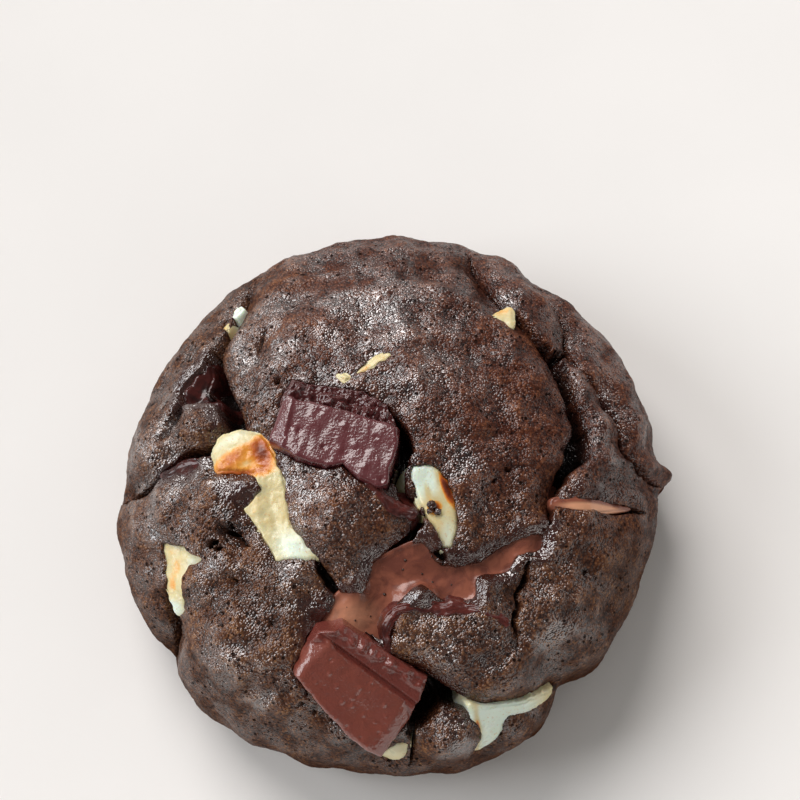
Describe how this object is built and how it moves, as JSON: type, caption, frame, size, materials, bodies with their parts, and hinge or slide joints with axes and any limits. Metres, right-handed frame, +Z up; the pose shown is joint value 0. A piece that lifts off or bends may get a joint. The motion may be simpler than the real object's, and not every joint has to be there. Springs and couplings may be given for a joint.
{
  "type": "triple chocolate cookie",
  "caption": "Thick round soft-baked cocoa cookie, cracked and lobed on top, with pieces of dark, milk and white chocolate and a pool of melted milk chocolate.",
  "frame": {"origin": "middle of the flat base, on the surface the cookie rests on", "axes": "+Z up through the crown, +X to the right and +Y to the back as the picture shows it"},
  "size_m": [0.1026, 0.1027, 0.0402],
  "materials": {
    "dough": "porous baked cocoa dough with a slight oily sheen",
    "dark_chocolate": "satin dark chocolate, softly pitted",
    "milk_chocolate": "half-melted milk chocolate, satin to glossy",
    "white_chocolate": "softened white chocolate, toasted amber in places"
  },
  "bodies": {
    "root": {"cookie_dough": "dough", "dark_chunk": "dark_chocolate", "dark_chunk_left": "dark_chocolate", "dark_seam_left": "dark_chocolate", "dark_smear": "dark_chocolate", "milk_chunk": "milk_chocolate", "milk_pool": "milk_chocolate", "milk_slab_right": "milk_chocolate", "white_chunk_left": "white_chocolate", "white_chunk_far_left": "white_chocolate", "white_chunk_right": "white_chocolate", "white_bit": "white_chocolate", "white_streak": "white_chocolate", "white_shard": "white_chocolate", "white_bead": "white_chocolate", "white_bead_low": "white_chocolate", "white_melt_front": "white_chocolate", "white_chip_front": "white_chocolate"}
  },
  "joints": []
}
